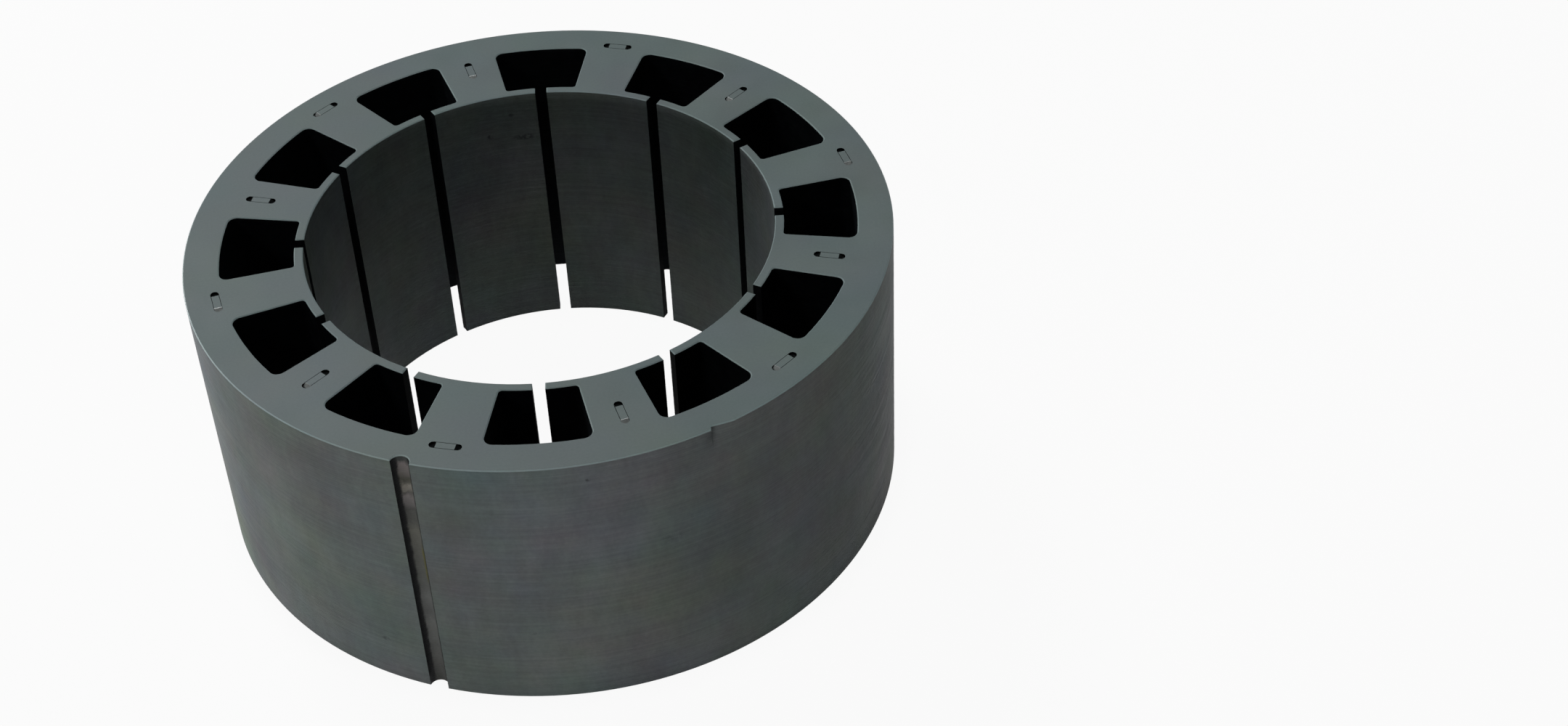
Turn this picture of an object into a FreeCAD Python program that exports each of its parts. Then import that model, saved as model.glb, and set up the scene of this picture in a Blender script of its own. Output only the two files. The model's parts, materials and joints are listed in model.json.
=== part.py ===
import FreeCAD, Part
import math
import os
import re

import Sketcher
from FreeCAD import Placement, Rotation, Vector

# Stator lamination stack of a 12-slot motor: interlocked 0.5 mm sheets of electrical steel.
#
# Every sheet has the same stamped outline: a round yoke, twelve teeth with thin tips round
# the bore, and one half-round key groove down the outside. One interlock on each tooth holds
# the sheets together: the punch lifts a tab of each sheet by one thickness, into the hollow
# that the next sheet's own tab has left. A tab has a flat middle and a ramp down at either
# end. The interlocks lie along the yoke and along the tooth by turns. The sheet on top has
# open windows with round ends instead of tabs, so the stack ends flat, and the last tabs
# stand in the windows. A dent in the top rim goes through the two uppermost sheets.
#
# Units are millimetres. The origin is the centre of the underside, +Z is the axis, and one
# slot points along +Y. Each body is drawn in its own frame with a tooth on +X, and its
# Placement turns it by half a slot pitch and lifts it to its level.

SIZES = (
    ("outer_diameter", 130, "outside of the yoke, seats in the motor housing"),
    ("bore_diameter", 86.5, "inside of the tooth tips, the rotor turns in it"),
    ("sheet_thickness", 0.5, "one lamination"),
    ("sheet_count", 111, "laminations in the whole stack"),
    ("slot_count", 12, "winding slots, an even number"),
    ("slot_opening", 2.2, "gap between neighbouring tooth tips"),
    ("tip_thickness", 1.7, "radial height of a tooth tip"),
    ("yoke_width", 6.6, "from the slots to the outside"),
    ("slot_inner_width", 13.5, "between the flanks, where they would meet the tip arc"),
    ("slot_outer_width", 18.7, "between the flanks, where they would meet the yoke arc"),
    ("slot_inner_corner", 0.7, "corner radius at the tooth tips"),
    ("slot_outer_corner", 1.6, "corner radius at the yoke"),
    ("key_radius", 1.7, "half-round key groove, centred on the outside"),
    ("key_angle", 234.3, "key groove, from the tooth on X"),
    ("tab_length", 4.6, "from the foot of one ramp to the foot of the other"),
    ("tab_width", 1.4, "across an interlock tab"),
    ("tab_ramp", 0.9, "run of the slope at each end of a tab"),
    ("tab_clearance", 0.02, "between a tab and the hollow that it fills"),
    ("window_side_gap", 0.05, "beside a tab in its window in the top sheet"),
    ("window_corner_gap", 0.02, "from the corners of a tab along it to the window's round end"),
    ("yoke_interlock_inset", 5.4, "from the outside to the interlocks along the yoke"),
    ("nick_angle", 281.7, "deepest point of the dent in the top rim, from the tooth on X"),
    ("nick_depth", 0.9, "dent in the top sheet"),
    ("nick_depth_below", 0.5, "the same dent, one sheet down"),
    ("nick_step", 0.4, "run of the steep side of the dent"),
    ("nick_length", 3.8, "run of the flat side of the dent"),
    ("overcut", 0.5, "how far a cut runs past the edge that it opens"),
)

OUTER_RADIUS = "outer_diameter / 2"
BORE_RADIUS = "bore_diameter / 2"
TIP_RADIUS = "bore_diameter / 2 + tip_thickness"
YOKE_RADIUS = "outer_diameter / 2 - yoke_width"
PITCH = "360 deg / slot_count"
WINDOW_RADIUS = "(tab_width / 2 + window_side_gap)"
WINDOW_REACH = ("tab_length / 2 + window_corner_gap"
                f" - sqrt({WINDOW_RADIUS} ^ 2 - (tab_width / 2) ^ 2)")

# How a sketch's constraints name its points and axes.
START, END, CENTRE = 1, 2, 3
X_AXIS, Y_AXIS = -1, -2
ORIGIN = (-1, 1)

UP = Vector(0, 0, 1)
NO_CHANGE = 0.000001  # volume, in cubic millimetres

size = {name: value for name, value, note in SIZES}
doc = FreeCAD.newDocument("stator_lamination_stack")


# ------------------------------------------------------------ spreadsheet, sketches, features

def make_spreadsheet():
    sheet = doc.addObject("Spreadsheet::Sheet", "sizes")
    for row, (name, value, note) in enumerate(SIZES, start=1):
        sheet.set(f"A{row}", name)
        sheet.set(f"B{row}", str(value))
        sheet.set(f"C{row}", note)
        sheet.setAlias(f"B{row}", name)
    doc.recompute()


def formula(text):
    """The text with each size's name written as a reference to its cell."""
    return re.sub(r"[a-z_]+", lambda word: f"sizes.{word[0]}" if word[0] in size else word[0], text)


def origin_feature(body, role):
    """One of the body's own planes or axes."""
    return next(feature for feature in body.Origin.OriginFeatures if feature.Role == role)


def make_body(name, level, height):
    """Body that stands at a level and is a plain ring of that height so far."""
    body = doc.addObject("PartDesign::Body", name)
    body.Label = name
    body.Placement = Placement(Vector(), Rotation(UP, 1))
    body.setExpression("Placement.Base.z", formula(level))
    body.setExpression("Placement.Rotation.Angle", formula(f"{PITCH} / 2"))
    ring = make_sketch(body, "ring", "XY_Plane")
    for radius in (OUTER_RADIUS, BORE_RADIUS):
        edge = ring.addGeometry(Part.Circle(Vector(), UP, size["outer_diameter"] / 2))
        constrain(ring, "Coincident", edge, CENTRE, *ORIGIN)
        set_radius(ring, edge, radius)
    extrude(body, "Pad", ring, height)
    return body


def make_sketch(body, name, plane, x="0", y="0", z="0", turn="0 deg", axis=UP):
    """Sketch on one of the body's own planes, moved and turned there by formulas."""
    sketch = body.newObject("Sketcher::SketchObject", name)
    sketch.AttachmentSupport = [(origin_feature(body, plane), "")]
    sketch.MapMode = "FlatFace"
    sketch.AttachmentOffset = Placement(Vector(), Rotation(axis, 1))
    sketch.setExpression("AttachmentOffset.Base.x", formula(x))
    sketch.setExpression("AttachmentOffset.Base.y", formula(y))
    sketch.setExpression("AttachmentOffset.Base.z", formula(z))
    sketch.setExpression("AttachmentOffset.Rotation.Angle", formula(turn))
    return sketch


def extrude(body, kind, sketch, length, both_ways=False):
    """Pad or Pocket of a sketch upwards, or both ways from its plane."""
    feature = body.newObject(f"PartDesign::{kind}", f"{sketch.Label}_{kind.lower()}")
    feature.Profile = sketch
    feature.Reversed = kind == "Pocket"
    feature.setExpression("Length", formula(length))
    if both_ways:
        feature.SideType = "Symmetric"
    return feature


def repeat_round(body, feature, count):
    """The feature's copies, spaced evenly round the axis."""
    pattern = body.newObject("PartDesign::PolarPattern", f"{feature.Label}_pattern")
    pattern.Originals = [feature]
    pattern.Axis = (origin_feature(body, "Z_Axis"), [""])
    pattern.Angle = 360
    pattern.setExpression("Occurrences", formula(count))
    body.Tip = pattern


def constrain(sketch, kind, *references):
    sketch.addConstraint(Sketcher.Constraint(kind, *references))


def bind(sketch, kind, references, value, text):
    """Dimension that starts at the drawn value and follows the formula."""
    index = sketch.addConstraint(Sketcher.Constraint(kind, *references, value))
    sketch.setExpression(f"Constraints[{index}]", formula(text))


def set_radius(sketch, edge, text):
    bind(sketch, "Radius", (edge,), sketch.Geometry[edge].Radius, text)


def set_distance(sketch, kind, first, second, text):
    """Distance along X or Y from the first point to the second, which is further on."""
    ends = [sketch.getPoint(*point) for point in (first, second)]
    gap = ends[1] - ends[0]
    bind(sketch, kind, (*first, *second), gap.x if kind == "DistanceX" else gap.y, text)


def draw_polygon(sketch, corners):
    """Closed outline through the corners; side n starts at corner n."""
    sides = []
    for start, end in zip(corners, corners[1:] + corners[:1]):
        sides.append(sketch.addGeometry(Part.LineSegment(start, end)))
    for side, following in zip(sides, sides[1:] + sides[:1]):
        constrain(sketch, "Coincident", side, END, following, START)
    return sides


def draw_arc(sketch, centre, radius, first, last):
    """Arc from the first angle on to the last, anticlockwise, in radians."""
    circle = Part.Circle(centre, UP, radius)
    return sketch.addGeometry(Part.ArcOfCircle(circle, first, last))


# ---------------------------------------------------------------------------- winding slots

def angle_of(vector):
    return math.atan2(vector.y, vector.x)


def mirrored(vector):
    return Vector(-vector.x, vector.y, 0)


def reach_radius(start, direction, radius):
    """The point at that distance from the axis, going from start in a direction."""
    along = start.dot(direction)
    step = math.sqrt(along ** 2 - start.dot(start) + radius ** 2) - along
    return start + direction * step


def draw_slot(sketch):
    """Semi-closed slot on the sketch's +Y: an opening, two flanks, arcs and round corners.

    The right half is worked out, and the left half is its mirror image.
    """
    bore_radius = size["bore_diameter"] / 2
    tip_radius = bore_radius + size["tip_thickness"]
    yoke_radius = size["outer_diameter"] / 2 - size["yoke_width"]
    inner_radius = size["slot_inner_corner"]
    outer_radius = size["slot_outer_corner"]

    half = size["slot_inner_width"] / 2
    inner_point = Vector(half, math.sqrt(tip_radius ** 2 - half ** 2), 0)
    half = size["slot_outer_width"] / 2
    outer_point = Vector(half, math.sqrt(yoke_radius ** 2 - half ** 2), 0)
    along = (outer_point - inner_point).normalize()
    inward = Vector(-along.y, along.x, 0)
    inner_centre = reach_radius(inner_point + inward * inner_radius, along, tip_radius + inner_radius)
    outer_centre = reach_radius(inner_point + inward * outer_radius, along, yoke_radius - outer_radius)

    half = size["slot_opening"] / 2
    mouth = bore_radius - size["overcut"]
    lip = Vector(half, math.sqrt(tip_radius ** 2 - half ** 2), 0)
    low = Vector(half, mouth, 0)

    def line(start, end):
        return sketch.addGeometry(Part.LineSegment(start, end))

    outward = -inward
    flank_start = inner_centre + outward * inner_radius
    flank_end = outer_centre + outward * outer_radius
    right = (
        line(low, lip),
        draw_arc(sketch, Vector(), tip_radius, angle_of(inner_centre), angle_of(lip)),
        draw_arc(sketch, inner_centre, inner_radius, angle_of(-inner_centre), angle_of(outward)),
        line(flank_start, flank_end),
        draw_arc(sketch, outer_centre, outer_radius, angle_of(outward), angle_of(outer_centre)),
    )
    left = (
        line(mirrored(low), mirrored(lip)),
        draw_arc(sketch, Vector(), tip_radius,
                 angle_of(mirrored(lip)), angle_of(mirrored(inner_centre))),
        draw_arc(sketch, mirrored(inner_centre), inner_radius,
                 angle_of(mirrored(outward)), angle_of(mirrored(-inner_centre))),
        line(mirrored(flank_start), mirrored(flank_end)),
        draw_arc(sketch, mirrored(outer_centre), outer_radius,
                 angle_of(mirrored(outer_centre)), angle_of(mirrored(outward))),
    )
    yoke_arc = draw_arc(sketch, Vector(), yoke_radius,
                        angle_of(outer_centre), angle_of(mirrored(outer_centre)))
    bottom = line(mirrored(low), low)

    for side, first, second in ((right, START, END), (left, END, START)):
        opening, tip_arc, inner_corner, flank, outer_corner = side
        constrain(sketch, "Vertical", opening)
        constrain(sketch, "Coincident", opening, END, tip_arc, second)
        constrain(sketch, "Coincident", tip_arc, CENTRE, *ORIGIN)
        constrain(sketch, "Tangent", tip_arc, first, inner_corner, first)
        constrain(sketch, "Tangent", inner_corner, second, flank, START)
        constrain(sketch, "Tangent", flank, END, outer_corner, first)
        constrain(sketch, "Tangent", outer_corner, second, yoke_arc, first)
    constrain(sketch, "Coincident", yoke_arc, CENTRE, *ORIGIN)
    constrain(sketch, "Coincident", bottom, START, left[0], START)
    constrain(sketch, "Coincident", bottom, END, right[0], START)
    constrain(sketch, "Symmetric", bottom, START, bottom, END, Y_AXIS)
    constrain(sketch, "Symmetric", left[3], START, right[3], START, Y_AXIS)
    for index in (1, 2, 4):
        constrain(sketch, "Equal", left[index], right[index])

    set_radius(sketch, right[1], TIP_RADIUS)
    set_radius(sketch, right[2], "slot_inner_corner")
    set_radius(sketch, right[4], "slot_outer_corner")
    set_radius(sketch, yoke_arc, YOKE_RADIUS)
    set_distance(sketch, "DistanceX", (bottom, START), (bottom, END), "slot_opening")
    set_distance(sketch, "DistanceY", ORIGIN, (bottom, START), f"{BORE_RADIUS} - overcut")
    for place, arc, width in ((inner_point, right[1], "slot_inner_width"),
                              (outer_point, yoke_arc, "slot_outer_width")):
        corner = sketch.addGeometry(Part.Point(place), True)
        constrain(sketch, "PointOnObject", corner, START, right[3])
        constrain(sketch, "PointOnObject", corner, START, arc)
        set_distance(sketch, "DistanceX", ORIGIN, (corner, START), f"{width} / 2")


def cut_slots(body, height):
    slot = make_sketch(body, "slot", "XY_Plane", turn=f"{PITCH} / 2 - 90 deg")
    draw_slot(slot)
    repeat_round(body, extrude(body, "Pocket", slot, height), "slot_count")


# ------------------------------------------------------------------- key groove and rim dent

def cut_key_groove(body, height):
    groove = make_sketch(body, "key_groove", "XY_Plane", turn="key_angle * 1 deg")
    centre = Vector(size["outer_diameter"] / 2, 0, 0)
    edge = groove.addGeometry(Part.Circle(centre, UP, size["key_radius"]))
    constrain(groove, "PointOnObject", edge, CENTRE, X_AXIS)
    set_radius(groove, edge, "key_radius")
    set_distance(groove, "DistanceX", ORIGIN, (edge, CENTRE), OUTER_RADIUS)
    extrude(body, "Pocket", groove, height)


def cut_nick(body, level, depth):
    """Dent in the rim of one sheet, steep on one side and running out flat on the other."""
    nick = make_sketch(body, "nick", "XY_Plane", z=level, turn="nick_angle * 1 deg")
    outside = size["outer_diameter"] / 2 + size["overcut"]
    steep, outer, _ = draw_polygon(nick, [
        Vector(size["outer_diameter"] / 2 - size[depth], 0, 0),
        Vector(outside, -size["nick_step"], 0),
        Vector(outside, size["nick_length"], 0),
    ])
    constrain(nick, "Vertical", outer)
    constrain(nick, "PointOnObject", steep, START, X_AXIS)
    set_distance(nick, "DistanceX", ORIGIN, (steep, START), f"{OUTER_RADIUS} - {depth}")
    set_distance(nick, "DistanceX", ORIGIN, (outer, START), f"{OUTER_RADIUS} + overcut")
    set_distance(nick, "DistanceY", (outer, START), ORIGIN, "nick_step")
    set_distance(nick, "DistanceY", ORIGIN, (outer, END), "nick_length")
    extrude(body, "Pocket", nick, "sheet_thickness")


# ------------------------------------------------------------------------------- interlocks
# The first interlock along the yoke is on the tooth on X, and the first one along a tooth is
# on the next tooth, halfway between the bore and the outside. Both kinds repeat on every
# other tooth.

YOKE_PLACE = "(outer_diameter / 2 - yoke_interlock_inset)"
TOOTH_PLACE = "((outer_diameter + bore_diameter) / 4)"
TOOTH_X = f"{TOOTH_PLACE} * cos({PITCH})"
TOOTH_Y = f"{TOOTH_PLACE} * sin({PITCH})"


def form_tabs(body, kind, level, clearance="0"):
    """Tabs padded on a level, or the hollows of the same form cut above it."""
    across = Vector(0, 1, 0)
    views = (
        make_sketch(body, "yoke_tab", "YZ_Plane", "0", level, YOKE_PLACE),
        make_sketch(body, "tooth_tab", "XZ_Plane", TOOTH_X, level, f"-{TOOTH_Y}", PITCH, across),
    )
    for view in views:
        draw_tab(view, clearance)
        tab = extrude(body, kind, view, f"tab_width + 2 * {clearance}", both_ways=True)
        repeat_round(body, tab, "slot_count / 2")


def draw_tab(sketch, clearance):
    """Side view of a tab: the foot, two ramps and the flat middle."""
    foot = size["tab_length"] / 2
    shoulder = foot - size["tab_ramp"]
    rise = size["sheet_thickness"]
    base, _, top, _ = draw_polygon(sketch, [
        Vector(-foot, 0, 0),
        Vector(foot, 0, 0),
        Vector(shoulder, rise, 0),
        Vector(-shoulder, rise, 0),
    ])
    constrain(sketch, "Symmetric", base, START, base, END, Y_AXIS)
    constrain(sketch, "PointOnObject", base, START, X_AXIS)
    constrain(sketch, "Symmetric", top, START, top, END, Y_AXIS)
    set_distance(sketch, "DistanceX", ORIGIN, (base, END), f"tab_length / 2 + {clearance}")
    set_distance(sketch, "DistanceX", (top, START), (base, END), "tab_ramp")
    set_distance(sketch, "DistanceY", ORIGIN, (top, START), "sheet_thickness")


def cut_windows(body):
    plans = (
        make_sketch(body, "yoke_window", "XY_Plane", YOKE_PLACE),
        make_sketch(body, "tooth_window", "XY_Plane", TOOTH_X, TOOTH_Y, "0", f"{PITCH} - 90 deg"),
    )
    for plan in plans:
        draw_window(plan)
        window = extrude(body, "Pocket", plan, "sheet_thickness")
        repeat_round(body, window, "slot_count / 2")


def draw_window(sketch):
    """Outline with round ends that clear a tab's corners, long along the sketch's Y."""
    half_tab = size["tab_width"] / 2
    radius = half_tab + size["window_side_gap"]
    reach = size["tab_length"] / 2 + size["window_corner_gap"] - math.sqrt(radius ** 2 - half_tab ** 2)
    upper = draw_arc(sketch, Vector(0, reach, 0), radius, 0, math.pi)
    lower = draw_arc(sketch, Vector(0, -reach, 0), radius, math.pi, 2 * math.pi)
    left = sketch.addGeometry(Part.LineSegment(Vector(-radius, reach, 0), Vector(-radius, -reach, 0)))
    right = sketch.addGeometry(Part.LineSegment(Vector(radius, -reach, 0), Vector(radius, reach, 0)))
    for edge, following in ((upper, left), (left, lower), (lower, right), (right, upper)):
        constrain(sketch, "Tangent", edge, END, following, START)
    constrain(sketch, "Vertical", left)
    constrain(sketch, "PointOnObject", upper, CENTRE, Y_AXIS)
    constrain(sketch, "Symmetric", upper, CENTRE, lower, CENTRE, *ORIGIN)
    set_radius(sketch, upper, WINDOW_RADIUS)
    set_distance(sketch, "DistanceY", ORIGIN, (upper, CENTRE), WINDOW_REACH)


# --------------------------------------------------------------------------------- the stack

def make_sheets(name, below, count):
    """The stamped outline: a number of sheets as one piece, above so many others."""
    height = f"({count}) * sheet_thickness"
    body = make_body(name, f"({below}) * sheet_thickness", height)
    cut_slots(body, height)
    cut_key_groove(body, height)
    return body


def make_formed_sheets(name, below, count):
    """Sheets with tabs on top and hollows underneath."""
    body = make_sheets(name, below, count)
    form_tabs(body, "Pocket", "0", "tab_clearance")
    form_tabs(body, "Pad", f"({count}) * sheet_thickness")
    return body


def make_stack():
    bottom = make_formed_sheets("bottom_lamination", "0", "1")
    core = make_formed_sheets("core_laminations", "1", "sheet_count - 2")
    cut_nick(core, "(sheet_count - 3) * sheet_thickness", "nick_depth_below")
    top = make_sheets("top_lamination", "sheet_count - 1", "1")
    cut_windows(top)
    cut_nick(top, "0", "nick_depth")
    return bottom, core, top


def check_document(bodies):
    """Stops at a failed object, a body that isn't one solid, or a feature without effect."""
    for item in doc.Objects:
        if "Invalid" in item.State or "Error" in item.State:
            raise RuntimeError(f"{item.Label}: {item.State}")
    for body in bodies:
        if body.Shape.isNull() or not body.Shape.isValid() or len(body.Shape.Solids) != 1:
            raise RuntimeError(f"{body.Label} is not one valid solid")
        volume = 0
        for feature in body.Group:
            if not feature.isDerivedFrom("PartDesign::Feature"):
                continue
            if abs(feature.Shape.Volume - volume) < NO_CHANGE:
                raise RuntimeError(f"{feature.Label} changes nothing")
            volume = feature.Shape.Volume


make_spreadsheet()
stack = make_stack()
doc.recompute()
check_document(stack)
os.makedirs("parts", exist_ok=True)
for body in stack:
    body.Shape.exportStep(f"parts/{body.Label}.step")
    print(f"{body.Label}: {body.Shape.Volume:.1f} mm3, {body.Shape.BoundBox}")
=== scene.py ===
import json
import math
import random

import bpy
import numpy as np
from mathutils import Matrix, Vector
from mathutils.geometry import tessellate_polygon


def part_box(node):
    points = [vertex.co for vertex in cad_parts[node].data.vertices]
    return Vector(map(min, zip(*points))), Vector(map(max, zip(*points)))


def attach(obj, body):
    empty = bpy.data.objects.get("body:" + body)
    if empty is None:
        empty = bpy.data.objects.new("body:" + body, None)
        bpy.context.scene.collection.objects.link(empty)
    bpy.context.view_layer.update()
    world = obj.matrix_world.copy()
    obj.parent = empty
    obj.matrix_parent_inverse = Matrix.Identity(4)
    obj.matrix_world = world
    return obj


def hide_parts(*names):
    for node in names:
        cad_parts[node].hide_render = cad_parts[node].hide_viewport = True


# The stator stack's looks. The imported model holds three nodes, and each is replaced by the
# same form in finer detail: 111 sheets with the rounded and sharp edges that a punch leaves,
# a little out of line with each other, with pressed tabs that show in the top sheet's windows.
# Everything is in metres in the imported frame: +Z up the bore, one slot along +Y.

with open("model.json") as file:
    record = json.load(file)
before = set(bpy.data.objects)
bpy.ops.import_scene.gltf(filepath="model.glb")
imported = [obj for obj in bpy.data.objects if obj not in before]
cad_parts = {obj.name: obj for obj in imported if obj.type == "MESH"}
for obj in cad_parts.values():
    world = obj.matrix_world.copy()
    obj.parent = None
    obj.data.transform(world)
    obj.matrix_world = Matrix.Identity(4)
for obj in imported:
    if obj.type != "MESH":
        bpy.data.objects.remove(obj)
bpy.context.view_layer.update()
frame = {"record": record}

MM = 0.001
DEGREE = math.pi / 180


def mount_radius(name):
    """Radius of one of the record's round mounts."""
    mount = next(m for m in frame["record"]["mounts"] if m["name"] == name)
    return mount["dims"]["r_mm"] * MM


OUTER_RADIUS = mount_radius("outside")
BORE_RADIUS = mount_radius("bore")
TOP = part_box("top_lamination")[1].z
SHEETS = round(TOP / (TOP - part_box("top_lamination")[0].z))
SHEET = TOP / SHEETS

# The stamped outline.
SLOTS = 12
PITCH = 2 * math.pi / SLOTS
SLOT_OPENING = 2.2 * MM
TIP_RADIUS = BORE_RADIUS + 1.7 * MM
YOKE_RADIUS = OUTER_RADIUS - 6.6 * MM
SLOT_INNER_WIDTH = 13.5 * MM
SLOT_OUTER_WIDTH = 18.7 * MM
SLOT_INNER_CORNER = 0.7 * MM
SLOT_OUTER_CORNER = 1.6 * MM
KEY_RADIUS = 1.7 * MM
KEY_ANGLE = 249.3 * DEGREE
NICK_ANGLE = 296.7 * DEGREE
NICK_DEPTH = 0.9 * MM
NICK_STEP = 0.4 * MM
NICK_LENGTH = 3.8 * MM
NICK_SHEETS = 9

# The interlocks.
TAB_LENGTH = 4.6 * MM
TAB_WIDTH = 1.4 * MM
TAB_RAMP = 0.55 * MM
TAB_BEVEL = 0.04 * MM
HOLLOW_GAP = 0.02 * MM
WINDOW_RADIUS = 0.72 * MM
WINDOW_LENGTH = 5.7 * MM
YOKE_PLACE = OUTER_RADIUS - 5.4 * MM
TOOTH_PLACE = (OUTER_RADIUS + BORE_RADIUS) / 2

# What the punch does to the edge of a sheet, and how far sheets lie out of line.
INSET = 0.025 * MM
RECESS = 0.03 * MM
BURR = 0.02 * MM
ROLLOVER = 0.09 * MM
RIM_BEVEL = 0.18 * MM
MISALIGNED = 0.010 * MM
SECTIONS = 4
SHARP_TURN = 25 * DEGREE     # where a wall turns by more, its edge is hard

# Straight pieces that each round stretch is drawn with.
TIP_STEPS, INNER_CORNER_STEPS, OUTER_CORNER_STEPS, YOKE_STEPS = 3, 5, 7, 4
TOOTH_STEPS, GROOVE_STEPS, WINDOW_STEPS = 10, 16, 12
SHORT_RIM_STEPS, STEEP_STEPS, FLAT_STEPS, LONG_RIM_STEPS = 24, 2, 5, 160

# Kinds of surface, in the order of a piece's material slots. SLOT and PIT carry painted shade, RIM
# a painted highlight, RAMP a painted glint.
WALL, GROOVE, BORE, SLOT, FACE, RIM, PIT, RAMP = range(8)

# The map for baked textures is a square of this side. Walls lie in rows on it, above the
# flat faces and at the same scale. Faces that are hidden in the stack lie there small.
MAP_SIDE = 160 * MM
MAP_ROW = 154 * MM
MAP_GAP = 0.3 * MM
HIDDEN_SCALE = 0.03
CORE_ROWS = 5 * MM
CORE_CORNERS = (0, 0), (10 * MM, 0)
SHEET_ROWS = 2 * OUTER_RADIUS + 2 * MM
SHEET_CORNER = (2 * OUTER_RADIUS + 5 * MM, 0)

# A slope counts as turned towards the front, or away from it, from this much on; only one turned
# to the front gets the painted glint.
TURNED = 0.3


# ------------------------------------------------------------------------------- outlines
# An outline is a list of (x, y, kind) corners with the sheet on its left, so that the same
# rule gives every wall its outward side. The kind is that of the wall after the corner.

def arc(centre, radius, first, last, steps, kind):
    """Corners along an arc, without its last point."""
    angles = np.linspace(first, last, steps, endpoint=False)
    return [(centre[0] + radius * math.cos(a), centre[1] + radius * math.sin(a), kind)
            for a in angles]


def turned(corners, angle):
    c, s = math.cos(angle), math.sin(angle)
    return [(x * c - y * s, x * s + y * c, kind) for x, y, kind in corners]


def backwards(corners):
    """The same closed outline walked the other way; each wall keeps its kind."""
    kinds = [kind for _, _, kind in corners]
    points = [(x, y) for x, y, _ in corners]
    points.reverse()
    kinds = kinds[-2::-1] + kinds[-1:]
    return [(x, y, kind) for (x, y), kind in zip(points, kinds)]


def reach(start, direction, radius):
    """The point at that distance from the axis, going from start in a direction."""
    along = start.dot(direction)
    return start + direction * (math.sqrt(along ** 2 - start.dot(start) + radius ** 2) - along)


def angle_of(vector):
    return math.atan2(vector.y, vector.x)


def slot_side():
    """Right-hand side of a slot on +Y, from the bore out to the middle of the yoke arc."""
    inner_half, outer_half = SLOT_INNER_WIDTH / 2, SLOT_OUTER_WIDTH / 2
    inner_point = Vector((inner_half, math.sqrt(TIP_RADIUS ** 2 - inner_half ** 2)))
    outer_point = Vector((outer_half, math.sqrt(YOKE_RADIUS ** 2 - outer_half ** 2)))
    along = (outer_point - inner_point).normalized()
    inward = Vector((-along.y, along.x))
    inner = reach(inner_point + inward * SLOT_INNER_CORNER, along, TIP_RADIUS + SLOT_INNER_CORNER)
    outer = reach(inner_point + inward * SLOT_OUTER_CORNER, along, YOKE_RADIUS - SLOT_OUTER_CORNER)
    half = SLOT_OPENING / 2
    lip = angle_of(Vector((half, math.sqrt(TIP_RADIUS ** 2 - half ** 2))))
    outward = angle_of(-inward)
    side = [(half, math.sqrt(BORE_RADIUS ** 2 - half ** 2), SLOT)]
    side += arc((0, 0), TIP_RADIUS, lip, angle_of(inner), TIP_STEPS, SLOT)
    side += arc(inner, SLOT_INNER_CORNER, angle_of(-inner), outward, INNER_CORNER_STEPS, SLOT)
    side += [(*(inner - inward * SLOT_INNER_CORNER), SLOT)]
    side += arc(outer, SLOT_OUTER_CORNER, outward, angle_of(outer), OUTER_CORNER_STEPS, SLOT)
    side += arc((0, 0), YOKE_RADIUS, angle_of(outer), math.pi / 2, YOKE_STEPS, SLOT)
    return side


def bore_outline():
    """Bore and slots in one outline, walked clockwise, so that the sheet is on the left."""
    side = slot_side()
    other = [(-x, y, SLOT) for x, y, _ in reversed(side)]
    mouth = math.atan2(side[0][1], side[0][0])
    slot = side + [(0, YOKE_RADIUS, SLOT)] + other[:-1]
    tooth = arc((0, 0), BORE_RADIUS, math.pi - mouth, mouth + PITCH, TOOTH_STEPS, BORE)
    whole = []
    for index in range(SLOTS):
        whole += turned(slot + tooth, index * PITCH)
    return backwards(whole)


def outer_outline(nick_depth=0):
    """Outside with its key groove, and the dent in the rim as deep as given."""
    half_chord = 2 * math.asin(KEY_RADIUS / (2 * OUTER_RADIUS))
    turn = math.pi / 2 + half_chord / 2
    first, last = KEY_ANGLE + half_chord, KEY_ANGLE + 2 * math.pi - half_chord
    start, end = NICK_ANGLE - NICK_STEP / OUTER_RADIUS, NICK_ANGLE + NICK_LENGTH / OUTER_RADIUS
    rim = []
    for here, there, steps in ((first, start, SHORT_RIM_STEPS), (start, NICK_ANGLE, STEEP_STEPS),
                               (NICK_ANGLE, end, FLAT_STEPS), (end, last, LONG_RIM_STEPS)):
        rim += arc((0, 0), OUTER_RADIUS, here, there, steps, WALL)
    groove = arc((OUTER_RADIUS, 0), KEY_RADIUS, -turn, turn - 2 * math.pi, GROOVE_STEPS, GROOVE)
    return [nicked(corner, nick_depth) for corner in rim] + turned(groove, KEY_ANGLE)


def nicked(corner, depth):
    """The corner of the rim, pushed in where the dent is: a step, then a long way out."""
    x, y, kind = corner
    along = ((math.atan2(y, x) - NICK_ANGLE + math.pi) % (2 * math.pi) - math.pi) * OUTER_RADIUS
    if not -NICK_STEP < along < NICK_LENGTH:
        return corner
    push = depth * (1 + along / NICK_STEP if along < 0 else 1 - along / NICK_LENGTH)
    scale = 1 - push / OUTER_RADIUS
    return (x * scale, y * scale, kind)


def dent_at(height):
    """The dent's depth at a height: deepest at the rim, gone some sheets below."""
    return NICK_DEPTH * max(0, 1 - (TOP - height) / (NICK_SHEETS * SHEET))


def placed(corners, index):
    """Outline of the interlock on one tooth, from one that lies along its own X."""
    angle = (index + 0.5) * PITCH
    if index % 2:
        distance, turn = TOOTH_PLACE, angle
    else:
        distance, turn = YOKE_PLACE, angle + math.pi / 2
    return [(x + distance * math.cos(angle), y + distance * math.sin(angle), kind)
            for x, y, kind in turned(corners, turn)]


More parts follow.
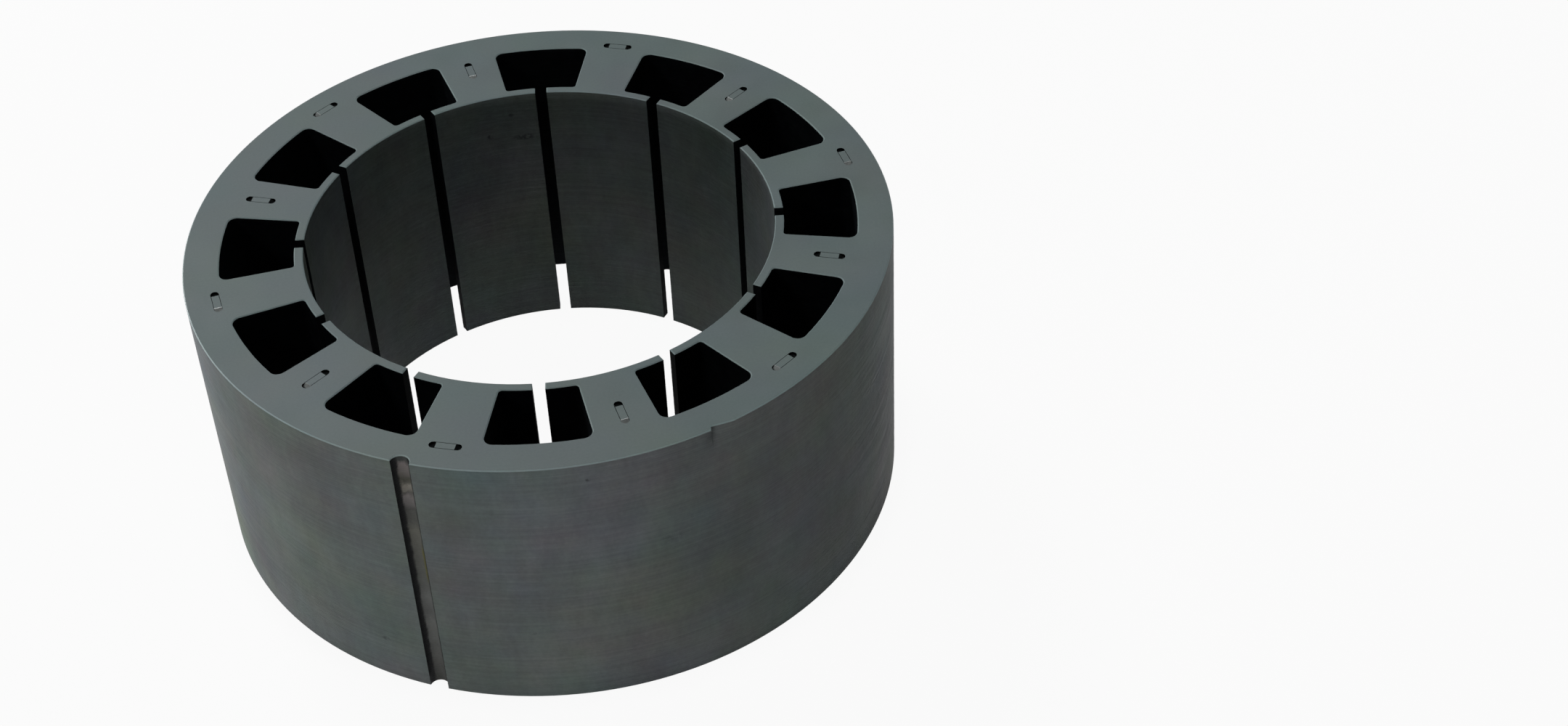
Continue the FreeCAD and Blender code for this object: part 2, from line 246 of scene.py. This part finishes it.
# The window's walls get the painted shade of the pits.
def window():
    reach_x = WINDOW_LENGTH / 2 - WINDOW_RADIUS
    half = math.pi / 2
    right = arc((reach_x, 0), WINDOW_RADIUS, half, -half, WINDOW_STEPS, PIT)
    left = arc((-reach_x, 0), WINDOW_RADIUS, -half, -3 * half, WINDOW_STEPS, PIT)
    return (right + [(reach_x, -WINDOW_RADIUS, PIT)]
            + left + [(-reach_x, WINDOW_RADIUS, PIT)])


# -------------------------------------------------------------------------- solid sheets

class Loop:
    """A closed outline as arrays, which can be moved in or out of the sheet."""

    def __init__(self, corners):
        self.points = np.array([corner[:2] for corner in corners])
        self.kinds = [corner[2] for corner in corners]
        ahead = np.roll(self.points, -1, axis=0) - self.points
        lengths = np.linalg.norm(ahead, axis=1)
        self.along = np.concatenate(([0], np.cumsum(lengths)))
        ahead /= lengths[:, None]
        behind = np.roll(ahead, 1, axis=0)
        cosine = np.clip((ahead * behind).sum(axis=1), -1, 1)
        self.sharp = cosine < math.cos(SHARP_TURN)
        middle = np.stack([-(ahead + behind)[:, 1], (ahead + behind)[:, 0]], axis=1)
        self.into = middle / (1 + cosine)[:, None]

    def ring(self, depth=0.0, shift=(0.0, 0.0)):
        return self.points + self.into * depth + np.array(shift)


class Solid:
    """Collects corners and faces with their places on the map, and makes one mesh of them."""

    def __init__(self, rows_from, tallest):
        self.corners, self.faces, self.kinds, self.map, self.sharp = [], [], [], [], set()
        self.rows_from, self.pitch, self.used = rows_from, tallest + MAP_GAP, 0.0

    def add_ring(self, points, height):
        first = len(self.corners)
        self.corners += [(x, y, height) for x, y in points]
        return range(first, first + len(points))

    def add_face(self, face, kind, mapped):
        self.faces.append(face)
        self.kinds.append(kind)
        self.map += mapped

    def add_walls(self, loop, rings, kinds=None):
        """Faces through all the rings of a loop, with hard edges along each ring."""
        bottom = self.corners[rings[0][0]][2]
        count = len(loop.points)
        for lower, upper in zip(rings, rings[1:]):
            low, high = (self.corners[ring[0]][2] - bottom for ring in (lower, upper))
            special = kinds[-1] if kinds and upper is rings[-1] else None
            for here in range(count):
                after = (here + 1) % count
                row, left = divmod(self.used + loop.along[here], MAP_ROW)
                right = left + loop.along[here + 1] - loop.along[here]
                base = self.rows_from + row * self.pitch
                self.add_face((lower[here], lower[after], upper[after], upper[here]),
                              loop.kinds[here] if special is None else special,
                              [(left, base + low), (right, base + low),
                               (right, base + high), (left, base + high)])
                for ring in (lower, upper):
                    self.sharp.add((min(ring[here], ring[after]), max(ring[here], ring[after])))
                if loop.sharp[here]:
                    self.sharp.add((lower[here], upper[here]))
        self.used += loop.along[-1]

    def add_cap(self, rings, kind, upwards, scale, corner):
        """Flat face inside and between rings; scale and corner are its place on the map."""
        outlines = [[Vector(self.corners[place]) for place in ring] for ring in rings]
        order = [place for ring in rings for place in ring]
        for triangle in tessellate_polygon(outlines):
            face = [order[index] for index in triangle]
            a, b, c = (Vector(self.corners[place]) for place in face)
            if ((b - a).cross(c - a).z > 0) != upwards:
                face.reverse()
            self.add_face(face, kind, [
                (corner[0] + (self.corners[place][0] + OUTER_RADIUS) * scale,
                 corner[1] + (self.corners[place][1] + OUTER_RADIUS) * scale) for place in face])

    def make(self, name):
        mesh = bpy.data.meshes.new(name)
        mesh.from_pydata(self.corners, [], self.faces)
        for material in MATERIALS:
            mesh.materials.append(material)
        mesh.polygons.foreach_set("material_index", self.kinds)
        mesh.polygons.foreach_set("use_smooth", [True] * len(self.faces))
        hard = mesh.attributes.new("sharp_edge", "BOOLEAN", "EDGE")
        edges = np.empty(len(mesh.edges) * 2, np.int32)
        mesh.edges.foreach_get("vertices", edges)
        hard.data.foreach_set("value", [
            (min(edge), max(edge)) in self.sharp for edge in edges.reshape(-1, 2).tolist()])
        baked = mesh.uv_layers.new(name="OFBake")
        baked.uv.foreach_set("vector", np.array(self.map, np.float32).ravel() / MAP_SIDE)
        mesh.update()
        piece = bpy.data.objects.new(name, mesh)
        bpy.context.scene.collection.objects.link(piece)
        return piece


def stack_rings(solid, outline, levels, kinds=None):
    """Walls through all the levels, each (height, depth, shift); returns the end rings.
    The outline is a loop, or a function that gives one for a height."""
    loop_at = outline if callable(outline) else lambda height: outline
    rings = [solid.add_ring(loop_at(height).ring(depth, shift), height)
             for height, depth, shift in levels]
    solid.add_walls(loop_at(levels[0][0]), rings, kinds)
    return rings[0], rings[-1]


def sheet_levels(first, last):
    """Rings of a pile of sheets: a burr below, the cut edge, and a rounded edge above."""
    levels = []
    for sheet in range(first, last):
        base, here = sheet * SHEET, SHIFTS[sheet]
        below = SHIFTS[max(sheet - 1, first)]
        levels += [(base, INSET + RECESS, (here + below) / 2),
                   (base + BURR, INSET, here),
                   (base + SHEET - ROLLOVER, INSET, here)]
    return levels + [(last * SHEET, INSET + RECESS, SHIFTS[last - 1])]


def outside_at(height):
    depth = dent_at(height)
    return Loop(outer_outline(depth)) if depth else PLAIN_OUTSIDE


def slope_kinds(index):
    """Kinds of a tab's two slopes: a slope turned towards the front gets the torn steel with its
    painted glint, any other the pits' painted shade.
    """
    angle = (index + 0.5) * PITCH + (0 if index % 2 else math.pi / 2)
    front = -math.sin(angle)
    return (RAMP if front > TURNED else PIT), (RAMP if front < -TURNED else PIT)


def add_tab(solid, index, base):
    """A pressed tab that ends level with the next sheet's top. Returns its foot."""
    first, second = slope_kinds(index)
    rings = []
    for height, inset in ((0, 0), (SHEET - TAB_BEVEL, 0), (SHEET, TAB_BEVEL)):
        x = TAB_LENGTH / 2 - TAB_RAMP * height / SHEET - inset
        y = TAB_WIDTH / 2 - inset
        loop = Loop(placed([(x, -y, first), (x, y, PIT), (-x, y, second), (-x, -y, PIT)], index))
        rings.append(solid.add_ring(loop.points, base + height))
    solid.add_walls(loop, rings)
    solid.add_cap([rings[-1]], FACE, True, 1, (0, solid.rows_from - 2 * OUTER_RADIUS - 1 * MM))
    return rings[0]


def make_core():
    """The sheets between the lowest and the top one, in sections."""
    made = []
    cuts = [1 + round((SHEETS - 2) * step / SECTIONS) for step in range(SECTIONS + 1)]
    for number, (first, last) in enumerate(zip(cuts, cuts[1:]), start=1):
        solid = Solid(CORE_ROWS, (last - first) * SHEET)
        levels = sheet_levels(first, last)
        ends = [stack_rings(solid, outside_at, levels), stack_rings(solid, BORE_LOOP, levels)]
        lowest, highest = ([end[side] for end in ends] for side in (0, 1))
        solid.add_cap(lowest, FACE, False, HIDDEN_SCALE, CORE_CORNERS[0])
        if last == cuts[-1]:
            highest += [add_tab(solid, index, last * SHEET) for index in range(SLOTS)]
        # The top cap, seen at the ends of the windows, is painted near-black as shade.
        solid.add_cap(highest, PIT, True, HIDDEN_SCALE, CORE_CORNERS[1])
        made.append((solid.make(f"core_sheets_{number}"), "core_laminations"))
    return made


def make_top_sheet():
    solid = Solid(SHEET_ROWS, SHEET)
    base, shift = (SHEETS - 1) * SHEET, SHIFTS[SHEETS - 1]
    levels = ((base, INSET + RECESS, shift), (base + BURR, INSET, shift),
              (TOP - RIM_BEVEL, INSET, shift), (TOP, INSET + RIM_BEVEL, shift))
    # The rim's bevel gets the lighter steel of the painted highlight.
    ends = [stack_rings(solid, outline, levels, [RIM]) for outline in (outside_at, BORE_LOOP)]
    levels = ((base, 0, (0, 0)), (TOP - TAB_BEVEL, 0, (0, 0)), (TOP, TAB_BEVEL, (0, 0)))
    ends += [stack_rings(solid, Loop(placed(window(), index)), levels) for index in range(SLOTS)]
    lowest, highest = ([end[side] for end in ends] for side in (0, 1))
    solid.add_cap(lowest, FACE, False, HIDDEN_SCALE, SHEET_CORNER)
    solid.add_cap(highest, FACE, True, 1, (0, 0))
    return solid.make("top_sheet"), "top_lamination"


def make_bottom_sheet():
    """The lowest sheet, with the hollows that its own tabs left."""
    solid = Solid(SHEET_ROWS, SHEET)
    levels = ((0, INSET + RECESS, SHIFTS[0]), (BURR, INSET, SHIFTS[0]),
              (SHEET - ROLLOVER, INSET, SHIFTS[0]), (SHEET, INSET + RECESS, SHIFTS[0]))
    ends = [stack_rings(solid, loop, levels) for loop in (PLAIN_OUTSIDE, BORE_LOOP)]
    for index in range(SLOTS):
        rings = []
        for height in (0, SHEET):
            x = TAB_LENGTH / 2 + HOLLOW_GAP - TAB_RAMP * height / SHEET
            y = TAB_WIDTH / 2 + HOLLOW_GAP
            # The hollows' ends get the torn steel with its painted glint, and their sides the
            # pits' painted shade.
            loop = Loop(placed([(x, y, RAMP), (x, -y, PIT), (-x, -y, RAMP), (-x, y, PIT)], index))
            rings.append(solid.add_ring(loop.points, height))
        solid.add_walls(loop, rings)
        ends.append(rings)
    lowest, highest = ([end[side] for end in ends] for side in (0, 1))
    solid.add_cap(lowest, FACE, False, 1, (0, 0))
    solid.add_cap(highest, FACE, True, HIDDEN_SCALE, SHEET_CORNER)
    return solid.make("bottom_sheet"), "bottom_lamination"


# ------------------------------------------------------------------------------ materials

class Finish:
    """A steel surface: dull, and made of the object's own coordinates."""

    def __init__(self, name, roughness, specular, metallic=0.0):
        self.material = bpy.data.materials.new(name)
        self.material.use_nodes = True
        self.tree = self.material.node_tree
        self.shader = self.tree.nodes["Principled BSDF"]
        self.shader.inputs["Metallic"].default_value = metallic
        self.shader.inputs["Roughness"].default_value = roughness
        self.shader.inputs["Specular IOR Level"].default_value = specular
        self.place = self.tree.nodes.new("ShaderNodeTexCoord").outputs["Object"]
        x, y, z = self.node("ShaderNodeSeparateXYZ", {0: self.place}).outputs
        self.angle = self.math("ARCTAN2", y, x)
        self.depth = self.math("SUBTRACT", TOP, z)
        self.sheet = self.math("FLOOR", self.math("DIVIDE", z, SHEET))

    def node(self, kind, links, **settings):
        made = self.tree.nodes.new(kind)
        for name, value in settings.items():
            setattr(made, name, value)
        for socket, value in links.items():
            if isinstance(value, bpy.types.NodeSocket):
                self.tree.links.new(value, made.inputs[socket])
            elif made.inputs[socket].type == "RGBA":
                made.inputs[socket].default_value = (*value, 1)
            else:
                made.inputs[socket].default_value = value
        return made

    def math(self, operation, first, second=0.0, third=0.0):
        return self.node("ShaderNodeMath", {0: first, 1: second, 2: third},
                         operation=operation).outputs[0]

    def vector(self, operation, first, second=(0, 0, 0), third=(0, 0, 0)):
        return self.node("ShaderNodeVectorMath", {0: first, 1: second, 2: third},
                         operation=operation).outputs[0]

    def grain(self, across, along, detail=3.0, rough=0.5):
        """Noise with so many waves per metre across the sheets' faces and along the axis."""
        place = self.vector("MULTIPLY", self.place, (across, across, along))
        return self.node("ShaderNodeTexNoise", {
            "Vector": place, "Scale": 1.0, "Detail": detail, "Roughness": rough})

    def fit(self, value, low, high, to_low=0.0, to_high=1.0):
        """The value, moved smoothly from one range to another and kept inside it."""
        return self.node("ShaderNodeMapRange", {
            "Value": value, "From Min": low, "From Max": high,
            "To Min": to_low, "To Max": to_high}, interpolation_type="SMOOTHSTEP").outputs[0]

    def mix(self, share, first, second):
        return self.node("ShaderNodeMix", {0: share, 6: first, 7: second},
                         data_type="RGBA").outputs[2]

    def vary(self, colour, *shades):
        """The colour, with each (value, amount) making it lighter and darker around a half."""
        factor = 1.0
        for value, amount in shades:
            swing = self.math("MULTIPLY_ADD", value, amount, 1 - amount / 2)
            factor = self.math("MULTIPLY", swing, factor)
        return self.vector("MULTIPLY", colour, self.node(
            "ShaderNodeCombineXYZ", {0: factor, 1: factor, 2: factor}).outputs[0])

    def tinted(self, colour, per_metre, amount):
        """The colour with a slow drift of hue."""
        hue = self.grain(per_metre, per_metre, 2).outputs["Color"]
        low = 1 - amount / 2
        return self.vector("MULTIPLY", colour, self.vector(
            "MULTIPLY_ADD", hue, (amount, amount, amount), (low, low, low)))

    def spot(self, angle, depth, half_width, half_height, radius):
        """1 in the middle of an oval patch on a round wall, 0 outside."""
        across = self.math("MULTIPLY", self.math("SUBTRACT", self.angle, angle),
                           radius / half_width)
        down = self.math("DIVIDE", self.math("SUBTRACT", self.depth, depth), half_height)
        span = self.math("SQRT", self.math("ADD", self.math("POWER", across, 2.0),
                                           self.math("POWER", down, 2.0)))
        return self.fit(span, 1.0, 0.3)

    def feed(self, name, value):
        self.tree.links.new(value, self.shader.inputs[name])

    def bump(self, height, distance):
        self.feed("Normal", self.node("ShaderNodeBump", {
            "Height": height, "Distance": distance}).outputs["Normal"])


STEEL_FACE = (0.123, 0.155, 0.156)
STEEL_EDGE = (0.134, 0.153, 0.148)
STEEL_DARK = (0.045, 0.050, 0.052)
# Slot walls painted near-black as shade, for the deep narrow slots.
SLOT_PAINTED_SHADE = (0.010, 0.012, 0.014)
# Pits and tab sides in the interlock windows painted near-black as shade.
PIT_PAINTED_SHADE = (0.006, 0.007, 0.007)
# Tab slopes: torn steel, made lighter as a painted glint.
TORN_AND_PAINTED_GLINT = (0.26, 0.28, 0.275)
# Painted shadow in the key groove.
GROOVE_PAINTED_SHADOW = (0.022, 0.023, 0.024)
GROOVE_STAIN = (0.135, 0.130, 0.050)
# The rounded rim is painted lighter than the face, as a painted highlight.
RIM_HIGHLIGHT_GAIN = 1.8               # how much lighter the rounded rim is than the face


def face_steel(name, gain):
    """Rolled and blued: almost even, with a slight cloudiness."""
    finish = Finish(name, 0.5, 0.2)
    cloudy, fine = finish.grain(90, 90, 4).outputs[0], finish.grain(2200, 2200, 2).outputs[0]
    colour = finish.tinted(tuple(gain * part for part in STEEL_FACE), 60, 0.16)
    finish.feed("Base Color", finish.vary(colour, (cloudy, 0.22), (fine, 0.16)))
    finish.feed("Roughness", finish.fit(cloudy, 0.3, 0.7, 0.45, 0.56))
    finish.bump(fine, 0.01 * MM)
    return finish.material


def edge_steel(name, radius, patches):
    """Cut edges: each sheet its own shade, with streaks along the sheets and a few smudges."""
    finish = Finish(name, 0.5, 0.05)
    shade = finish.node("ShaderNodeTexWhiteNoise", {"W": finish.sheet},
                        noise_dimensions="1D").outputs[0]
    streaks = finish.grain(60, 1600, 3, 0.6).outputs[0]
    smears = finish.grain(420, 160, 3, 0.6).outputs[0]
    clouds = finish.grain(50, 50, 4, 0.55).outputs[0]
    fine = finish.grain(1500, 1500, 2).outputs[0]
    colour = finish.tinted(finish.tinted(STEEL_EDGE, 40, 0.3), 150, 0.16)
    colour = finish.vary(colour, (shade, 0.08), (streaks, 0.34), (smears, 0.34),
                         (clouds, 0.7), (fine, 0.25))
    for angle, depth, half_width, half_height, strength in patches:
        inside = finish.spot(angle * DEGREE, depth * MM, half_width * MM, half_height * MM, radius)
        ragged = finish.fit(finish.grain(900, 900, 3, 0.7).outputs[0], 0.4, 0.6)
        worn = finish.math("MULTIPLY", inside, ragged)
        colour = finish.mix(finish.math("MULTIPLY", worn, strength), colour, STEEL_DARK)
    finish.feed("Base Color", colour)
    finish.feed("Roughness", finish.fit(streaks, 0.3, 0.7, 0.44, 0.58))
    finish.bump(finish.grain(500, 3000, 2).outputs[0], 0.01 * MM)
    return finish.material


# Steel painted near-black as shade, for the deep slots and the interlock pits.
def painted_shade_steel(name, base):
    finish = Finish(name, 0.6, 0.02)
    grain = finish.grain(400, 400, 3).outputs[0]
    finish.feed("Base Color", finish.vary(base, (grain, 1.2)))
    return finish.material


# Down the key groove, from the rim: depth in mm and colour of what has lodged in it; the two dark
# stops at the rim are painted shade under its edge.
GROOVE_COLOURS = (
    (0.0, (0.050, 0.058, 0.055)), (0.8, (0.060, 0.064, 0.062)), (2.0, (0.200, 0.180, 0.175)),
    (3.8, (0.165, 0.152, 0.145)), (5.2, (0.085, 0.085, 0.070)), (6.2, (0.120, 0.118, 0.100)),
    (6.9, (0.250, 0.240, 0.205)), (7.9, (0.215, 0.205, 0.180)), (8.4, (0.110, 0.108, 0.098)),
    (9.4, (0.210, 0.195, 0.190)), (11.0, (0.160, 0.152, 0.150)), (12.2, (0.090, 0.092, 0.086)),
    (15.5, (0.105, 0.108, 0.098)), (17.5, (0.150, 0.150, 0.130)), (22.0, (0.130, 0.132, 0.118)),
    (30.0, (0.115, 0.120, 0.112)), (34.0, (0.150, 0.155, 0.150)), (37.0, (0.120, 0.125, 0.120)),
    (41.0, (0.150, 0.155, 0.148)), (45.0, (0.125, 0.130, 0.124)), (50.0, (0.110, 0.112, 0.106)),
    (55.5, (0.070, 0.072, 0.068)),
)


def groove_steel():
    """The key groove: painted shadow along its left side and at its right edge, with pale residue
    down the middle.
    """
    finish = Finish("key_groove_steel", 0.55, 0.08)
    grain = finish.grain(900, 600, 4, 0.6).outputs[0]
    wavy = finish.math("MULTIPLY_ADD", grain, 2.4 * MM,
                       finish.math("SUBTRACT", finish.depth, 1.2 * MM))
    ramp = finish.node("ShaderNodeValToRGB", {0: finish.math("DIVIDE", wavy, TOP)})
    stops = ramp.color_ramp.elements
    stops.remove(stops[1])
    for number, (depth, colour) in enumerate(GROOVE_COLOURS):
        stop = stops.new(depth * MM / TOP) if number else stops[0]
        stop.color = (*colour, 1)
    turn = finish.math("SUBTRACT", finish.angle, KEY_ANGLE - 2 * math.pi)
    across = finish.math("MULTIPLY", turn, OUTER_RADIUS)
    across = finish.math("MULTIPLY_ADD", grain, 0.5 * MM,
                         finish.math("SUBTRACT", across, 0.25 * MM))
    # Painted shadow: dark along the groove's left side and in a thin line at its right edge.
    outside_painted_shadow = finish.math("MULTIPLY", finish.fit(across, -1.4 * MM, -1.0 * MM),
                      finish.fit(across, 0.95 * MM, 0.6 * MM))
    stain = finish.math("MULTIPLY", finish.fit(across, 0.2 * MM, 0.7 * MM), finish.math(
        "MULTIPLY", finish.fit(wavy, 20 * MM, 23 * MM), finish.fit(wavy, 31 * MM, 28 * MM)))
    colour = finish.mix(stain, ramp.outputs[0], GROOVE_STAIN)
    colour = finish.mix(outside_painted_shadow, GROOVE_PAINTED_SHADOW, colour)
    finish.feed("Base Color", finish.vary(colour, (grain, 0.5)))
    finish.bump(grain, 0.04 * MM)
    return finish.material


def torn_steel_painted_glint():
    """Slopes of the pressed tabs: torn bare steel, made lighter as a painted glint."""
    finish = Finish("torn_steel_painted_glint", 0.4, 0.5, 0.3)
    grain = finish.grain(1800, 1800, 3).outputs[0]
    finish.feed("Base Color", finish.vary(TORN_AND_PAINTED_GLINT, (grain, 1.2)))
    return finish.material


# Smudges: angle in degrees, depth below the rim and half sizes in mm, strength.
BORE_PATCHES = ((95.6, 10.3, 3.2, 1.0, 0.8), (104.4, 9.0, 0.9, 0.8, 0.9),
                (98.4, 4.7, 0.8, 0.6, 0.8))
WALL_PATCHES = ((277, 3.5, 0.6, 0.5, 0.8), (241, 46, 1.1, 0.8, 0.6), (266, 39, 0.8, 0.7, 0.5),
                (289, 21, 2.6, 1.6, 0.35))

# The slot and pit finishes are painted shade, the rim's is a painted highlight, and the torn
# steel's is a painted glint.
MATERIALS = (
    edge_steel("steel_outer_edge", OUTER_RADIUS,
               [(angle - 360, *rest) for angle, *rest in WALL_PATCHES]),
    groove_steel(),
    edge_steel("steel_bore_edge", BORE_RADIUS, BORE_PATCHES),
    painted_shade_steel("slot_painted_shade", SLOT_PAINTED_SHADE),
    face_steel("steel_face", 1.0),
    face_steel("steel_rim_painted_highlight", RIM_HIGHLIGHT_GAIN),
    painted_shade_steel("pit_painted_shade", PIT_PAINTED_SHADE),
    torn_steel_painted_glint(),
)

wander = random.Random(12)
SHIFTS = [np.array([wander.uniform(-MISALIGNED, MISALIGNED),
                    wander.uniform(-MISALIGNED, MISALIGNED)])
          for sheet in range(SHEETS)]

PLAIN_OUTSIDE = Loop(outer_outline())
BORE_LOOP = Loop(bore_outline())

for piece, stands_for in make_core() + [make_top_sheet(), make_bottom_sheet()]:
    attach(piece, "root")
    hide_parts(stands_for)


# --------------------------------------------------------------------- floor, world, lamps

def make_floor():
    """White floor. The eye and mirrors see it brighter than its light, and its shadow stays."""
    material = bpy.data.materials.new("floor_white")
    material.use_nodes = True
    tree = material.node_tree
    tree.nodes.clear()
    rays = tree.nodes.new("ShaderNodeLightPath")
    seen = rays.outputs["Is Camera Ray"]
    for kind in ("Is Glossy Ray", "Is Transmission Ray"):
        either = tree.nodes.new("ShaderNodeMath")
        either.operation = "MAXIMUM"
        tree.links.new(seen, either.inputs[0])
        tree.links.new(rays.outputs[kind], either.inputs[1])
        seen = either.outputs["Value"]
    share = tree.nodes.new("ShaderNodeMath")
    share.operation = "MULTIPLY"
    share.inputs[1].default_value = FLOOR_GLOW
    tree.links.new(seen, share.inputs[0])
    plain = tree.nodes.new("ShaderNodeBsdfDiffuse")
    plain.inputs["Color"].default_value = (*FLOOR_COLOUR, 1)
    glow = tree.nodes.new("ShaderNodeEmission")
    mixed = tree.nodes.new("ShaderNodeMixShader")
    output = tree.nodes.new("ShaderNodeOutputMaterial")
    tree.links.new(share.outputs["Value"], mixed.inputs["Fac"])
    tree.links.new(plain.outputs["BSDF"], mixed.inputs[1])
    tree.links.new(glow.outputs["Emission"], mixed.inputs[2])
    tree.links.new(mixed.outputs["Shader"], output.inputs["Surface"])
    half = FLOOR_HALF
    mesh = bpy.data.meshes.new("floor")
    mesh.from_pydata([(-half, -half, 0), (half, -half, 0), (half, half, 0), (-half, half, 0)],
                     [], [(0, 1, 2, 3)])
    mesh.materials.append(material)
    floor = bpy.data.objects.new("floor", mesh)
    bpy.context.scene.collection.objects.link(floor)


def make_world():
    world = bpy.data.worlds.new("studio")
    world.use_nodes = True
    background = world.node_tree.nodes["Background"]
    background.inputs["Color"].default_value = (*WORLD_COLOUR, 1)
    background.inputs["Strength"].default_value = WORLD_STRENGTH
    bpy.context.scene.world = world


def make_lamp(name, azimuth, elevation, level, distance, width, height=None):
    """Round lamp or strip, aimed at the middle of the object from azimuth and elevation. At
    a level of 1 a surface that faces the lamp shows as it is coloured."""
    lamp = bpy.data.lights.new(name, "AREA")
    lamp.size = width
    lamp.shape = "DISK"
    if height:
        lamp.shape = "RECTANGLE"
        lamp.size_y = height
    lamp.energy = level * math.pi ** 2 * distance ** 2
    a, e = azimuth * DEGREE, elevation * DEGREE
    towards = Vector((math.cos(a) * math.cos(e), math.sin(a) * math.cos(e), math.sin(e)))
    holder = bpy.data.objects.new(name, lamp)
    holder.location = Vector((0, 0, LAMP_AIM)) + towards * distance
    holder.rotation_mode = "QUATERNION"
    holder.rotation_quaternion = towards.to_track_quat("Z", "Y")
    bpy.context.scene.collection.objects.link(holder)


FLOOR_HALF = 20.0            # half of its side
FLOOR_COLOUR = (0.6, 0.6, 0.6)
FLOOR_GLOW = 0.93
WORLD_COLOUR = (1.0, 1.0, 1.0)
WORLD_STRENGTH = 0.01
LAMP_AIM = 45 * MM
LAMPS = (
    # name, azimuth and elevation in degrees, level, distance, width, height of a strip
    ("overhead", 0, 90, 0.42, 3.0, 0.4),
    ("back_left", 120, 47, 0.42, 1.2, 0.4),
    ("front_left", 210, 40, 0.05, 1.2, 0.3),
    ("strip_left", 152, 0, 0.60, 0.8, 0.4, 0.06),
    ("strip_front", 246, 0, 0.25, 0.8, 0.4, 0.06),
)


# ------------------------------------------------------------------------------------ camera

CAMERA_ELEVATION = 41.11 * DEGREE
CAMERA_ROLL = 2.373 * DEGREE
CAMERA_AZIMUTH = 2.427 * DEGREE
CAMERA_SENSOR = 36           # its width in mm
CAMERA_LENS = 57.09          # mm
CAMERA_DISTANCE = 7.029      # these three in outer radii
AIM_RIGHT = 0.6907           # from the middle of the top face to the middle of the view
AIM_DOWN = 0.3843


def make_camera():
    turn = Matrix.Rotation(-CAMERA_AZIMUTH, 3, "Z")
    ahead = turn @ Vector((0, math.cos(CAMERA_ELEVATION), -math.sin(CAMERA_ELEVATION)))
    level = turn @ Vector((1, 0, 0))
    lifted = level.cross(ahead)
    right = level * math.cos(CAMERA_ROLL) - lifted * math.sin(CAMERA_ROLL)
    up = right.cross(ahead)
    aim = Vector((0, 0, TOP)) + (right * AIM_RIGHT - up * AIM_DOWN) * OUTER_RADIUS
    camera = bpy.data.cameras.new("camera")
    camera.sensor_width = CAMERA_SENSOR
    camera.lens = CAMERA_LENS
    camera.clip_start = 0.01
    camera.clip_end = 100
    holder = bpy.data.objects.new("camera", camera)
    axes = Matrix((right, up, -ahead)).transposed()
    eye = aim - ahead * CAMERA_DISTANCE * OUTER_RADIUS
    holder.matrix_world = Matrix.Translation(eye) @ axes.to_4x4()
    bpy.context.scene.collection.objects.link(holder)
    bpy.context.scene.camera = holder


make_floor()
make_world()
for lamp in LAMPS:
    make_lamp(*lamp)
make_camera()
bpy.context.scene.view_settings.view_transform = "Standard"
